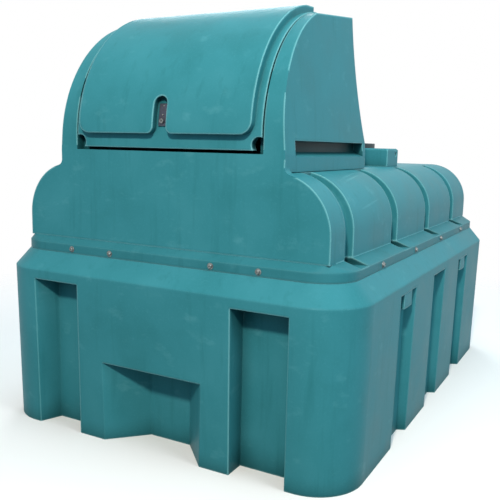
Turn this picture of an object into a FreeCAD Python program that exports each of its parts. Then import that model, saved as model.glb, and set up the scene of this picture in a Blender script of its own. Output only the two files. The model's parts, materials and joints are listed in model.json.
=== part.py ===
# Self-bunded fuel storage tank with a lidded dispensing cabinet, in millimetres.
# +Z is up, the front with the cabinet faces -Y, the origin is on the floor under the middle of the bund.
import FreeCAD, Part
import math
import os
import Sketcher

Vector = FreeCAD.Vector
doc = FreeCAD.newDocument("fuel_storage_tank")
sheet = doc.addObject("Spreadsheet::Sheet", "Sizes")

# Driving sizes of the tank.
SIZES = [
    # bund: the outer tub
    ("bund_width", 1650),
    ("bund_depth", 2380),
    ("bund_wall_height", 677),
    ("bund_corner_radius", 205),
    ("bund_lean", 12),
    ("bund_skin", 12),
    ("chamfer_rise", 74),
    ("chamfer_inset", 62),
    # flutes and recesses moulded into the bund walls
    ("flute_top", 638),
    ("flute_inner_edge", 360),
    ("flute_face_width", 234),
    ("flute_depth", 103),
    ("flute_flare", 39),
    ("toe_recess_width", 484),
    ("toe_recess_floor_width", 192),
    ("toe_recess_depth", 152),
    ("toe_recess_top", 330),
    ("side_recess_pitch", 532),
    ("side_recess_width", 226),
    ("side_recess_flare", 22),
    ("side_recess_depth", 46),
    ("tie_lug_width", 122),
    ("tie_lug_taper", 8),
    ("tie_lug_height", 64),
    ("tie_lug_setback", 3),
    # flange between the bund and the upper moulding
    ("flange_corner_radius", 150),
    ("flange_band", 37),
    ("flange_ledge_front", 32),
    ("flange_ledge_side", 66),
    ("flange_ledge_rise", 24),
    ("flange_rim", 45),
    # upper moulding: walls, round shoulders and deck
    ("deck_height", 1122),
    ("shoulder_radius", 216),
    ("shell_skin", 10),
    ("end_wall", 40),
    ("end_corner_radius", 24),
    ("groove_width", 88),
    ("groove_depth", 28),
    ("groove_first", 181),
    ("groove_pitch", 555),
    # cabinet: cheeks, roof and back around the lid
    ("cheek_width", 85),
    ("cheek_lean", 46),
    ("opening_width", 862),
    ("sill_height", 1183),
    ("sill_corner_radius", 25),
    ("curve_start", 1243),
    ("curve_radius", 500),
    ("curve_turn_angle", 70),
    ("roof_slope_angle", 7),
    ("roof_reach", 712),
    ("back_radius", 1225),
    ("back_foot", 1236),
    ("cabinet_wall", 40),
    ("lip_width", 32),
    ("lip_depth", 26),
    ("slot_front", 86),
    ("slot_back", 33),
    ("slot_ceiling", 1233),
    ("slot_height", 40),
    ("slot_fall", 24),
    ("slot_depth", 46),
    # lid
    ("lid_thickness", 30),
    ("lid_side_gap", 7),
    ("lid_sill_gap", 12),
    ("lid_reach", 477),
    ("lid_turn_angle", 80),
    ("lid_slope_angle", 3.2),
    ("finger_hole_radius", 29),
    ("finger_hole_inset", 12),
    ("finger_hole_lift", 19),
    ("panel_rise", 28),
    ("panel_border", 30),
    ("panel_lift", 7),
    ("panel_corner_radius", 48),
    ("lock_notch_width", 62),
    ("lock_notch_height", 140),
    ("lock_notch_mouth", 26),
    # lock
    ("lock_plate_width", 38),
    ("lock_plate_height", 84),
    ("lock_plate_thickness", 5),
    ("lock_plate_drop", 28),
    ("lock_barrel_radius", 9),
    ("lock_barrel_reach", 9),
    ("lock_seat", 0.05),
    # lid hinges
    ("hinge_gap", 12),
    ("hinge_set_back", 10),
    ("hinge_lift", 10),
    ("hinge_spread", 250),
    ("hinge_width", 80),
    ("hinge_knuckle", 26),
    ("hinge_play", 1),
    ("hinge_barrel_radius", 7),
    ("hinge_pin_radius", 4),
    ("hinge_pin_fit", 0.08),
    ("hinge_leaf", 4),
    ("hinge_leaf_reach", 50),
    ("hinge_pad_lift", 6),
    ("hinge_pad_height", 18),
    # fittings on the deck
    ("lift_block_front", 1216),
    ("lift_block_width", 190),
    ("lift_block_depth", 175),
    ("lift_block_outer_edge", 500),
    ("lift_block_height", 91),
    ("lift_block_chamfer", 8),
    ("lift_hole_radius", 12),
    ("lift_hole_drop", 28),
    ("lift_hole_inset", 34),
    ("hatch_rear_gap", 446),
    ("hatch_collar_radius", 222),
    ("hatch_collar_wall", 16),
    ("hatch_collar_height", 70),
    ("hatch_lid_radius", 242),
    ("hatch_lid_height", 48),
    # reach of the cutting tools past a face
    ("tool_clearance", 20),
]
for row, (alias, number) in enumerate(SIZES, 1):
    sheet.set("A%d" % row, alias)
    sheet.set("B%d" % row, str(number))
    sheet.setAlias("B%d" % row, alias)
doc.recompute()

# Grooves over each shoulder
GROOVES = 4


class Size:
    """A length that knows its number and the sheet expression it comes from."""

    def __init__(self, value, text):
        self.value = float(value)
        self.text = text

    def __add__(self, other):
        other = as_size(other)
        return Size(self.value + other.value, "(%s + %s)" % (self.text, other.text))

    def __sub__(self, other):
        other = as_size(other)
        return Size(self.value - other.value, "(%s - %s)" % (self.text, other.text))

    def __mul__(self, other):
        other = as_size(other)
        return Size(self.value * other.value, "(%s * %s)" % (self.text, other.text))

    def __truediv__(self, other):
        other = as_size(other)
        return Size(self.value / other.value, "(%s / %s)" % (self.text, other.text))

    def __radd__(self, other):
        return as_size(other) + self

    def __rsub__(self, other):
        return as_size(other) - self

    def __rmul__(self, other):
        return as_size(other) * self

    def __rtruediv__(self, other):
        return as_size(other) / self

    def __neg__(self):
        return Size(-self.value, "(0 - %s)" % self.text)


def as_size(number):
    if isinstance(number, Size):
        return number
    return Size(number, "(%.6f)" % number)


def root(size):
    return Size(math.sqrt(size.value), "sqrt(%s)" % size.text)


def cosine(size):
    return Size(math.cos(math.radians(size.value)), "cos(%s * 1 deg)" % size.text)


def sine(size):
    return Size(math.sin(math.radians(size.value)), "sin(%s * 1 deg)" % size.text)


S = {alias: Size(sheet.get(alias), "Sizes.%s" % alias) for alias, number in SIZES}


# Sketches and features

def new_body(name):
    return doc.addObject("PartDesign::Body", name)


def new_sketch(body, plane, lift=0):
    sketch = body.newObject("Sketcher::SketchObject", "sketch")
    origin = [o for o in body.Origin.OriginFeatures if o.Role == plane][0]
    sketch.AttachmentSupport = [(origin, "")]
    sketch.MapMode = "FlatFace"
    lift = as_size(lift)
    sketch.AttachmentOffset = FreeCAD.Placement(Vector(0, 0, lift.value), FreeCAD.Rotation())
    sketch.setExpression("AttachmentOffset.Base.z", lift.text)
    return sketch


def bind(sketch, constraint, size):
    index = sketch.addConstraint(constraint)
    sketch.setExpression("Constraints[%d]" % index, size.text)


def pin_point(sketch, geo, pos, x, y):
    for kind, axis, size in (("DistanceX", -2, as_size(x)), ("DistanceY", -1, as_size(y))):
        if abs(size.value) < 1e-9:
            sketch.addConstraint(Sketcher.Constraint("PointOnObject", geo, pos, axis))
        elif size.value > 0:
            bind(sketch, Sketcher.Constraint(kind, -1, 1, geo, pos, size.value), size)
        else:
            bind(sketch, Sketcher.Constraint(kind, geo, pos, -1, 1, -size.value), -size)


def add_loop(sketch, corners):
    """Closed loop of (x, y, radius): the radius bends the side that leaves the corner,
    positive to the left, negative to the right, None for a straight side."""
    sides = []
    for i, (x, y, radius) in enumerate(corners):
        a = Vector(as_size(x).value, as_size(y).value, 0)
        following = corners[(i + 1) % len(corners)]
        b = Vector(as_size(following[0]).value, as_size(following[1]).value, 0)
        if radius is None:
            geo = sketch.addGeometry(Part.LineSegment(a, b))
            sides.append((geo, 1, 2))
            continue
        bend = as_size(radius).value
        middle = (a + b) * 0.5
        chord = b - a
        left = Vector(-chord.y, chord.x, 0).normalize()
        rise = math.sqrt(max(bend * bend - chord.Length ** 2 / 4, 0))
        centre = middle + left * math.copysign(rise, bend)
        first = math.atan2(a.y - centre.y, a.x - centre.x)
        last = math.atan2(b.y - centre.y, b.x - centre.x)
        circle = Part.Circle(centre, Vector(0, 0, 1), abs(bend))
        if bend > 0:
            geo = sketch.addGeometry(Part.ArcOfCircle(circle, first, last))
            sides.append((geo, 1, 2))
        else:
            geo = sketch.addGeometry(Part.ArcOfCircle(circle, last, first))
            sides.append((geo, 2, 1))
    for i, (geo, start, end) in enumerate(sides):
        following = sides[(i + 1) % len(sides)]
        sketch.addConstraint(Sketcher.Constraint("Coincident", geo, end, following[0], following[1]))
    for (x, y, radius), (geo, start, end) in zip(corners, sides):
        pin_point(sketch, geo, start, x, y)
        if radius is not None:
            size = as_size(radius)
            size = size if size.value > 0 else -size
            bind(sketch, Sketcher.Constraint("Radius", geo, size.value), size)


def add_circle(sketch, x, y, radius):
    centre = Vector(as_size(x).value, as_size(y).value, 0)
    geo = sketch.addGeometry(Part.Circle(centre, Vector(0, 0, 1), as_size(radius).value))
    pin_point(sketch, geo, 3, x, y)
    bind(sketch, Sketcher.Constraint("Radius", geo, as_size(radius).value), as_size(radius))


def feature(body, kind, sketch, length, reverse=False, symmetric=False):
    made = body.newObject("PartDesign::" + kind, kind.lower())
    made.Profile = sketch
    if symmetric:
        made.SideType = "Symmetric"
    made.Reversed = reverse
    length = as_size(length)
    made.Length = length.value
    made.setExpression("Length", length.text)
    sketch.Visibility = False
    return made


def pad(body, plane, loops, length, lift=0, reverse=False, symmetric=False):
    sketch = new_sketch(body, plane, lift)
    for loop in loops:
        add_loop(sketch, loop)
    return feature(body, "Pad", sketch, length, reverse, symmetric)


def pocket(body, plane, loops, length, lift=0, reverse=False, symmetric=False):
    sketch = new_sketch(body, plane, lift)
    for loop in loops:
        add_loop(sketch, loop)
    return feature(body, "Pocket", sketch, length, reverse, symmetric)


def loft(body, first, second, low, high):
    lower = new_sketch(body, "XY_Plane", low)
    add_loop(lower, first)
    upper = new_sketch(body, "XY_Plane", high)
    add_loop(upper, second)
    made = body.newObject("PartDesign::AdditiveLoft", "loft")
    made.Profile = lower
    made.Sections = [upper]
    made.Ruled = True
    return made


def edge_chamfer(body, chooser, size):
    doc.recompute()
    tip = body.Tip
    names = ["Edge%d" % (i + 1) for i, e in enumerate(tip.Shape.Edges) if chooser(e)]
    made = body.newObject("PartDesign::Chamfer", "chamfer")
    made.Base = (tip, names)
    made.Size = size.value
    made.setExpression("Size", size.text)
    return made


def mirrored(name, source):
    made = doc.addObject("Part::Mirroring", name)
    made.Source = source
    made.Normal = Vector(1, 0, 0)
    made.Base = Vector(0, 0, 0)
    return made


def cut(name, base, tool):
    made = doc.addObject("Part::Cut", name)
    made.Base = base
    made.Tool = tool
    return made


def fuse(name, shapes):
    made = doc.addObject("Part::MultiFuse", name)
    made.Shapes = shapes
    made.Refine = True
    return made


def rounded_box(width, depth, radius):
    x = width / 2
    y = depth / 2
    r = radius
    return [
        (r - x, -y, None),
        (x - r, -y, r),
        (x, r - y, None),
        (x, y - r, r),
        (x - r, y, None),
        (r - x, y, r),
        (-x, y - r, None),
        (-x, r - y, r),
    ]


def rectangle(x0, y0, x1, y1):
    return [(x0, y0, None), (x1, y0, None), (x1, y1, None), (x0, y1, None)]


PARTS = {}

# Levels and lines shared by the pieces
half_width = S["bund_width"] / 2
half_depth = S["bund_depth"] / 2
flange_z = S["bund_wall_height"] + S["chamfer_rise"]
ledge_z = flange_z + S["flange_band"]
shell_z = ledge_z + S["flange_ledge_rise"]
shell_half = half_width - S["chamfer_inset"] - S["flange_ledge_side"]
rear_y = half_depth - S["chamfer_inset"] - S["flange_ledge_front"]
front_y = -rear_y
clear = S["tool_clearance"]
deck_z = S["deck_height"]
shoulder_z = deck_z - S["shoulder_radius"]
opening_half = S["opening_width"] / 2
cabinet_half = opening_half + S["cheek_width"]
through = S["bund_depth"] * 2

# Shares of the skin by which the inner chamfer drops and steps in
chamfer_slant = root(S["chamfer_rise"] * S["chamfer_rise"] + S["chamfer_inset"] * S["chamfer_inset"])
half_chamfer = (chamfer_slant - S["chamfer_rise"]) / S["chamfer_inset"]
chamfer_step = chamfer_slant / S["chamfer_rise"]


# Bund tub: one moulding, the outer form less the same form one skin smaller
def tub_form(name, skin):
    body = new_body(name)
    lean = S["bund_lean"]
    corner = S["bund_corner_radius"] - skin
    wall_top = S["bund_wall_height"] - skin * half_chamfer
    top_inset = S["chamfer_inset"] + skin * chamfer_step
    foot = rounded_box((half_width - lean - skin) * 2, (half_depth - lean - skin) * 2, corner - lean)
    tub = rounded_box((half_width - skin) * 2, (half_depth - skin) * 2, corner)
    rim = rounded_box((half_width - top_inset) * 2, (half_depth - top_inset) * 2, S["flange_corner_radius"] - skin)
    loft(body, foot, tub, skin, wall_top)
    loft(body, tub, rim, wall_top, flange_z)
    flutes = []
    toes = []
    for end in (-1, 1):
        face = end * (half_depth + clear)
        floor = end * (half_depth - S["flute_depth"] - skin)
        spread = S["flute_flare"] * (clear / S["flute_depth"])
        for side in (-1, 1):
            inner = side * (S["flute_inner_edge"] - skin)
            outer = S["flute_inner_edge"] + S["flute_face_width"] + skin
            flutes.append([
                (inner, face, None),
                (side * (outer + spread), face, None),
                (side * (outer - S["flute_flare"]), floor, None),
                (inner, floor, None),
            ])
        toe_floor = end * (half_depth - S["toe_recess_depth"] - skin)
        toe_half = S["toe_recess_floor_width"] / 2 + skin
        toe_flare = (S["toe_recess_width"] - S["toe_recess_floor_width"]) / 2
        toe_face = S["toe_recess_width"] / 2 + skin + toe_flare * (clear / S["toe_recess_depth"])
        toes.append([
            (-toe_face, face, None),
            (toe_face, face, None),
            (toe_half, toe_floor, None),
            (-toe_half, toe_floor, None),
        ])
    for side in (-1, 1):
        face = side * (half_width + clear)
        floor = side * (half_width - S["side_recess_depth"] - skin)
        spread = S["side_recess_flare"] * (clear / S["side_recess_depth"])
        half = S["side_recess_width"] / 2 + skin
        for step in (-1, 0, 1):
            middle = S["side_recess_pitch"] * step
            flutes.append([
                (face, middle - half - spread, None),
                (face, middle + half + spread, None),
                (floor, middle + half - S["side_recess_flare"], None),
                (floor, middle - half + S["side_recess_flare"], None),
            ])
    pocket(body, "XY_Plane", flutes, S["flute_top"] + skin, 0, True)
    pocket(body, "XY_Plane", toes, S["toe_recess_top"] + skin, 0, True)
    return body


tub_outer = tub_form("tub_outer", as_size(0))
tub_core = tub_form("tub_core", S["bund_skin"])
PARTS["bund_tub"] = cut("bund_tub", tub_outer, tub_core)

# Tie-down lugs at the head of the outer side recesses
for place, step in (("front", -1), ("rear", 1)):
    lug = new_body("tie_lug_right_" + place)
    inner = half_width - S["side_recess_depth"]
    outer = half_width - S["tie_lug_setback"]
    middle = S["side_recess_pitch"] * step
    half = S["tie_lug_width"] / 2
    block = [
        (inner, middle - half, None),
        (outer, middle - half + S["tie_lug_taper"], None),
        (outer, middle + half - S["tie_lug_taper"], None),
        (inner, middle + half, None),
    ]
    pad(lug, "XY_Plane", [block], S["tie_lug_height"], S["flute_top"] - S["tie_lug_height"])
    PARTS[lug.Name] = lug
    PARTS["tie_lug_left_" + place] = mirrored("tie_lug_left_" + place, lug)

# Shoulder grooves stand at an equal pitch behind the front face
groove_lines = [front_y + S["groove_first"] + S["groove_pitch"] * step for step in range(GROOVES)]

# Flange: a band with a sloping ledge that carries the upper moulding, open at the feet of the grooves
flange = new_body("flange")
flange_box = rounded_box((half_width - S["chamfer_inset"]) * 2, (half_depth - S["chamfer_inset"]) * 2,
                         S["flange_corner_radius"])
ledge_box = rounded_box(shell_half * 2, rear_y * 2, S["end_corner_radius"])
hollow_box = rounded_box((shell_half - S["flange_rim"]) * 2, (rear_y - S["flange_rim"]) * 2,
                         S["end_corner_radius"])
pad(flange, "XY_Plane", [flange_box], S["flange_band"], flange_z)
loft(flange, flange_box, ledge_box, ledge_z, shell_z)
pocket(flange, "XY_Plane", [hollow_box], shell_z - flange_z + clear * 2, shell_z + clear)
feet = []
for line in groove_lines:
    half = S["groove_width"] / 2
    for side in (-1, 1):
        inner = side * (shell_half - S["groove_depth"])
        outer = side * (half_width + clear)
        feet.append(rectangle(inner, line - half, outer, line + half))
pocket(flange, "XY_Plane", feet, S["flange_ledge_rise"] + clear, shell_z + clear)
PARTS["flange"] = flange


# Upper moulding: arched shell with grooves over the shoulders
def arch(skin):
    x = shell_half - skin
    r = S["shoulder_radius"] - skin
    return [
        (-x, shell_z, None),
        (x, shell_z, None),
        (x, shoulder_z, r),
        (x - r, shoulder_z + r, None),
        (r - x, shoulder_z + r, r),
        (-x, shoulder_z, None),
    ]


def groove_z(x, centre, radius):
    """Height of a groove's round floor at x."""
    return shoulder_z + root(radius * radius - (x - centre) * (x - centre))


def shell_form(name, skin):
    body = new_body(name)
    pad(body, "XZ_Plane", [arch(skin)], (rear_y - S["end_wall"]) * 2, 0, False, True)
    r = S["shoulder_radius"] - S["groove_depth"] - skin
    x = shell_half - S["groove_depth"] - skin
    stop = cabinet_half - skin
    out = shell_half + clear
    up = deck_z + clear
    low = shell_z - clear
    right = [
        (x, low, None),
        (out, low, None),
        (out, up, None),
        (stop, up, None),
        (stop, groove_z(stop, x - r, r), -r),
        (x, shoulder_z, None),
    ]
    left = [
        (-x, low, None),
        (-x, shoulder_z, -r),
        (-stop, groove_z(stop, x - r, r), None),
        (-stop, up, None),
        (-out, up, None),
        (-out, low, None),
    ]
    for line in groove_lines:
        pocket(body, "XZ_Plane", [right, left], S["groove_width"] + skin * 2, -line, False, True)
    return body


shell_outer = shell_form("shell_outer", as_size(0))
shell_core = shell_form("shell_core", S["shell_skin"])
PARTS["tank_shell"] = cut("tank_shell", shell_outer, shell_core)

# Front wall: the end of the arch with the sill of the cabinet on top
sill_z = S["sill_height"]
r = S["shoulder_radius"]
bend = S["sill_corner_radius"]
arch_x = shell_half - r
side_run = cabinet_half + bend - arch_x
side_rise = root((r + bend) * (r + bend) - side_run * side_run)
meet_x = arch_x + side_run * (r / (r + bend))
meet_z = shoulder_z + side_rise * (r / (r + bend))
bend_z = shoulder_z + side_rise
front_face = [
    (-shell_half, shell_z, None),
    (shell_half, shell_z, None),
    (shell_half, shoulder_z, r),
    (meet_x, meet_z, -bend),
    (cabinet_half, bend_z, None),
    (cabinet_half, sill_z, None),
    (-cabinet_half, sill_z, None),
    (-cabinet_half, bend_z, -bend),
    (-meet_x, meet_z, r),
    (-shell_half, shoulder_z, None),
]
front_wall = new_body("front_wall")
pad(front_wall, "XZ_Plane", [front_face], S["end_wall"], -front_y, True)
PARTS["front_wall"] = front_wall

# Rear wall: the plain end of the arch
rear_wall = new_body("rear_wall")
pad(rear_wall, "XZ_Plane", [arch(as_size(0))], S["end_wall"], -rear_y)
PARTS["rear_wall"] = rear_wall

# Side lines of the cabinet and its lid: straight up, round over, then a gentle slope to the back
curve_z = S["curve_start"]


def line_y(depth):
    return front_y + depth


def turn_point(kind, depth):
    turn = S[kind + "_turn_angle"]
    bend = S["curve_radius"] - depth
    return front_y + S["curve_radius"] - bend * cosine(turn), curve_z + bend * sine(turn)


def lid_z(y, depth):
    """Height of the lid's slope at y, at a depth under its outer face."""
    slope = S["lid_slope_angle"]
    turn_y, turn_z = turn_point("lid", depth)
    return turn_z + (y - turn_y) * (sine(slope) / cosine(slope))


def roof_z(y, depth):
    """Height of the roof's slope at y, at a depth under its outer face."""
    turn_y, turn_z = turn_point("curve", depth)
    return turn_z + (y - turn_y) * roof_slope


def strip(outer, inner, bottom, end_y):
    """Band between two depths under the lid's line, from a level at the front to an end at the back."""
    outer = as_size(outer)
    inner = as_size(inner)
    out_y, out_z = turn_point("lid", outer)
    in_y, in_z = turn_point("lid", inner)
    return [
        (line_y(outer), bottom, None),
        (line_y(inner), bottom, None),
        (line_y(inner), curve_z, inner - S["curve_radius"]),
        (in_y, in_z, None),
        (end_y, lid_z(end_y, inner), None),
        (end_y, lid_z(end_y, outer), None),
        (out_y, out_z, S["curve_radius"] - outer),
        (line_y(outer), curve_z, None),
    ]


# Cheeks: the thick sides of the cabinet with a lip behind the lid and a hand slot outside
roof_slope = sine(S["roof_slope_angle"]) / cosine(S["roof_slope_angle"])
roof_end = front_y + S["roof_reach"]
roof_top = roof_z(roof_end, as_size(0))
back_cy = roof_end + S["back_radius"]
back_drop = roof_top - S["back_foot"]
foot_y = back_cy - root(S["back_radius"] * S["back_radius"] - back_drop * back_drop)
wall_back = front_y + S["end_wall"]
turn_y, turn_z = turn_point("curve", as_size(0))
cheek_side = [
    (front_y, sill_z, None),
    (wall_back, sill_z, None),
    (wall_back, deck_z, None),
    (foot_y, deck_z, None),
    (foot_y, S["back_foot"], -S["back_radius"]),
    (roof_end, roof_top, None),
    (turn_y, turn_z, S["curve_radius"]),
    (front_y, curve_z, None),
]
cheek = new_body("cheek_right")
pad(cheek, "YZ_Plane", [cheek_side], cabinet_half - opening_half, opening_half)
lean = [
    (cabinet_half, sill_z, None),
    (cabinet_half + clear, sill_z, None),
    (cabinet_half + clear, roof_top + clear, None),
    (cabinet_half - S["cheek_lean"], roof_top + clear, None),
]
pocket(cheek, "XZ_Plane", [lean], through, 0, False, True)
slot_mouth = cabinet_half + clear
slot_floor = S["slot_ceiling"] - S["slot_height"]
slot = [
    (cabinet_half - S["slot_depth"], S["slot_ceiling"], None),
    (cabinet_half - S["slot_depth"], slot_floor, None),
    (slot_mouth, slot_floor - S["slot_fall"], None),
    (slot_mouth, S["slot_ceiling"], None),
]
slot_start = front_y + S["slot_front"]
pocket(cheek, "XZ_Plane", [slot], foot_y - S["slot_back"] - slot_start, -slot_start)
lip_start = S["end_wall"]
lip_end = front_y + S["lid_reach"] + S["hinge_gap"]
pad(cheek, "YZ_Plane", [strip(lip_start, lip_start + S["lip_depth"], deck_z, lip_end)],
    S["lip_width"], opening_half - S["lip_width"])
PARTS["cheek_right"] = cheek
PARTS["cheek_left"] = mirrored("cheek_left", cheek)

# Roof behind the lid, and the hollow back under it
wall = S["cabinet_wall"]
roof_start = front_y + S["lid_reach"] + S["hinge_gap"]
under_z = roof_z(roof_end, wall)
roof_tail = back_cy - root(S["back_radius"] * S["back_radius"] - (roof_top - under_z) * (roof_top - under_z))
roof = new_body("cabinet_roof")
pad(roof, "YZ_Plane", [[
    (roof_start, roof_z(roof_start, wall), None),
    (roof_tail, under_z, -S["back_radius"]),
    (roof_end, roof_top, None),
    (roof_start, roof_z(roof_start, as_size(0)), None),
]], S["opening_width"], 0, False, True)
PARTS["cabinet_roof"] = roof
inner_radius = S["back_radius"] + wall
inner_foot = back_cy - root(inner_radius * inner_radius - back_drop * back_drop)
inner_run = roof_top - under_z + wall * roof_slope
inner_y = back_cy - root(inner_radius * inner_radius - inner_run * inner_run)
inner_top_z = under_z - (roof_tail - inner_y) * roof_slope
back = new_body("cabinet_back")
pad(back, "YZ_Plane", [[
    (inner_foot, deck_z, None),
    (foot_y, deck_z, None),
    (foot_y, S["back_foot"], -S["back_radius"]),
    (roof_tail, under_z, None),
    (inner_y, inner_top_z, inner_radius),
    (inner_foot, S["back_foot"], None),
]], S["opening_width"], 0, False, True)
PARTS["cabinet_back"] = back

# Lid: a curved double skin with a raised panel, notched for the lock
lid_half = opening_half - S["lid_side_gap"]
lid_bottom = sill_z + S["lid_sill_gap"]
lid_end = front_y + S["lid_reach"]
lid_edge = new_body("lid_edge")
pad(lid_edge, "YZ_Plane", [strip(0, S["lid_thickness"], lid_bottom, lid_end)], lid_half * 2, 0, False, True)
corner_sketch = new_sketch(lid_edge, "XZ_Plane", 0)
for side in (-1, 1):
    add_circle(corner_sketch, side * (lid_half - S["finger_hole_inset"]), lid_bottom + S["finger_hole_lift"],
               S["finger_hole_radius"])
feature(lid_edge, "Pocket", corner_sketch, through, False, True)
panel_half = lid_half - S["panel_border"]
panel = new_body("lid_panel")
rise = S["panel_rise"]
pad(panel, "YZ_Plane", [strip(-rise, 0, lid_bottom, lid_end)], panel_half * 2, 0, False, True)
low = curve_z + S["panel_lift"]
corner = S["panel_corner_radius"]
notch = S["lock_notch_width"] / 2
mouth = S["lock_notch_mouth"]
notch_z = low + S["lock_notch_height"] - notch
under_panel = [
    (-panel_half - clear, low + corner, None),
    (-panel_half, low + corner, corner),
    (corner - panel_half, low, None),
    (-notch - mouth, low, mouth),
    (-notch, low + mouth, None),
    (-notch, notch_z, -notch),
    (0, notch_z + notch, -notch),
    (notch, notch_z, None),
    (notch, low + mouth, mouth),
    (notch + mouth, low, None),
    (panel_half - corner, low, corner),
    (panel_half, low + corner, None),
    (panel_half + clear, low + corner, None),
    (panel_half + clear, lid_bottom - clear, None),
    (-panel_half - clear, lid_bottom - clear, None),
]
pocket(panel, "XZ_Plane", [under_panel], through, 0, False, True)
PARTS["lid"] = fuse("lid", [lid_edge, panel])

# Lock: a plate in the notch of the panel and its barrel
lock_top = low + S["lock_notch_height"] - S["lock_plate_drop"]
lock_low = lock_top - S["lock_plate_height"]
plate = S["lock_plate_thickness"]
bend_out = S["curve_radius"] + plate
lock_drop = lock_low - curve_z
lock_rise = lock_top - curve_z
lock_cy = front_y + S["curve_radius"]


def round_y(radius, height):
    return lock_cy - root(radius * radius - height * height)


lock_plate = new_body("lock_plate")
pad(lock_plate, "YZ_Plane", [[
    (round_y(bend_out, lock_drop), lock_low, None),
    (round_y(S["curve_radius"], lock_drop), lock_low, -S["curve_radius"]),
    (round_y(S["curve_radius"], lock_rise), lock_top, None),
    (round_y(bend_out, lock_rise), lock_top, bend_out),
]], S["lock_plate_width"], 0, False, True)
barrel_z = lock_low + S["lock_plate_width"] / 2
hole_sketch = new_sketch(lock_plate, "XZ_Plane", 0)
add_circle(hole_sketch, 0, barrel_z, S["lock_barrel_radius"])
feature(lock_plate, "Pocket", hole_sketch, through, False, True)
PARTS["lock_plate"] = lock_plate
lock_barrel = new_body("lock_barrel")
barrel_low = barrel_z - S["lock_barrel_radius"]
barrel_sketch = new_sketch(lock_barrel, "XZ_Plane",
                           S["lock_seat"] - round_y(S["curve_radius"], barrel_low - curve_z))
add_circle(barrel_sketch, 0, barrel_z, S["lock_barrel_radius"])
feature(lock_barrel, "Pad", barrel_sketch, plate + S["lock_barrel_reach"])
PARTS["lock_barrel"] = lock_barrel

# Lid hinges on the roof just behind the lid
axis_y = roof_start + S["hinge_set_back"]
axis_z = roof_z(axis_y, as_size(0)) + S["hinge_lift"]
barrel = S["hinge_barrel_radius"]
leaf = S["hinge_leaf"]
spread = S["hinge_spread"]
half = S["hinge_width"] / 2
knuckle = S["hinge_knuckle"] / 2
play = S["hinge_play"]


def roof_line(y, lift):
    return roof_z(y, as_size(0)) + lift


def leaf_loop(start, end):
    return [
        (start, roof_line(start, 0), None),
        (end, roof_line(end, 0), None),
        (end, roof_line(end, leaf), None),
        (start, roof_line(start, leaf), None),
    ]


leaf_end = axis_y + S["hinge_leaf_reach"]
hinge_leaf = new_body("hinge_leaf_right")
pad(hinge_leaf, "YZ_Plane", [leaf_loop(axis_y + barrel + play * 2, leaf_end)], half * 2, spread - half)
for start in (spread - half, spread + knuckle + play):
    length = half - knuckle - play
    knuckle_sketch = new_sketch(hinge_leaf, "YZ_Plane", start)
    add_circle(knuckle_sketch, axis_y, axis_z, barrel)
    feature(hinge_leaf, "Pad", knuckle_sketch, length)
    pad(hinge_leaf, "YZ_Plane", [leaf_loop(axis_y, axis_y + barrel + play * 3)], length, start)
pin_hole = new_sketch(hinge_leaf, "YZ_Plane", spread - half - clear)
add_circle(pin_hole, axis_y, axis_z, S["hinge_pin_radius"])
feature(hinge_leaf, "Pocket", pin_hole, (half + clear) * 2, True)
PARTS["hinge_leaf_right"] = hinge_leaf
PARTS["hinge_leaf_left"] = mirrored("hinge_leaf_left", hinge_leaf)

strap = new_body("hinge_strap_right")
strap_low = lid_z(lid_end, S["lid_thickness"]) + S["hinge_pad_lift"]
pad(strap, "YZ_Plane", [[
    (lid_end, strap_low, None),
    (lid_end + leaf, strap_low, None),
    (lid_end + leaf, axis_z - leaf / 2, None),
    (axis_y, axis_z - leaf / 2, None),
    (axis_y, axis_z + leaf / 2, None),
    (lid_end, axis_z + leaf / 2, None),
]], knuckle * 2, spread - knuckle)
strap_sketch = new_sketch(strap, "YZ_Plane", spread - knuckle)
add_circle(strap_sketch, axis_y, axis_z, barrel)
feature(strap, "Pad", strap_sketch, knuckle * 2)
strap_pad = rectangle(lid_end, strap_low, lid_end + leaf, strap_low + S["hinge_pad_height"])
pad(strap, "YZ_Plane", [strap_pad], half * 2, spread - half)
strap_hole = new_sketch(strap, "YZ_Plane", spread - half - clear)
add_circle(strap_hole, axis_y, axis_z, S["hinge_pin_radius"] + S["hinge_pin_fit"])
feature(strap, "Pocket", strap_hole, (half + clear) * 2, True)
PARTS["hinge_strap_right"] = strap
PARTS["hinge_strap_left"] = mirrored("hinge_strap_left", strap)

pin = new_body("hinge_pin_right")
pin_sketch = new_sketch(pin, "YZ_Plane", spread - half)
add_circle(pin_sketch, axis_y, axis_z, S["hinge_pin_radius"])
feature(pin, "Pad", pin_sketch, half * 2)
PARTS["hinge_pin_right"] = pin
PARTS["hinge_pin_left"] = mirrored("hinge_pin_left", pin)

# Lifting blocks beside the hatch, cut to the arch they stand on, each with a cross hole
block = new_body("lift_block")
block_y = front_y + S["lift_block_front"]
block_x = S["lift_block_outer_edge"]
block_z = deck_z + S["lift_block_height"]
block_box = rectangle(block_x - S["lift_block_width"], block_y, block_x, block_y + S["lift_block_depth"])
pad(block, "XY_Plane", [block_box], block_z - shoulder_z, shoulder_z)


def block_rim(edge):
    return edge.BoundBox.Center.z > deck_z.value


edge_chamfer(block, block_rim, S["lift_block_chamfer"])
lift_hole = new_sketch(block, "YZ_Plane", block_x - S["lift_block_width"] - clear)
add_circle(lift_hole, block_y + S["lift_block_depth"] - S["lift_hole_inset"], block_z - S["lift_hole_drop"],
           S["lift_hole_radius"])
feature(block, "Pocket", lift_hole, S["lift_block_width"] + clear * 2, True)
PARTS["lift_block_right"] = cut("lift_block_right", block, shell_outer)
PARTS["lift_block_left"] = mirrored("lift_block_left", PARTS["lift_block_right"])

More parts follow.
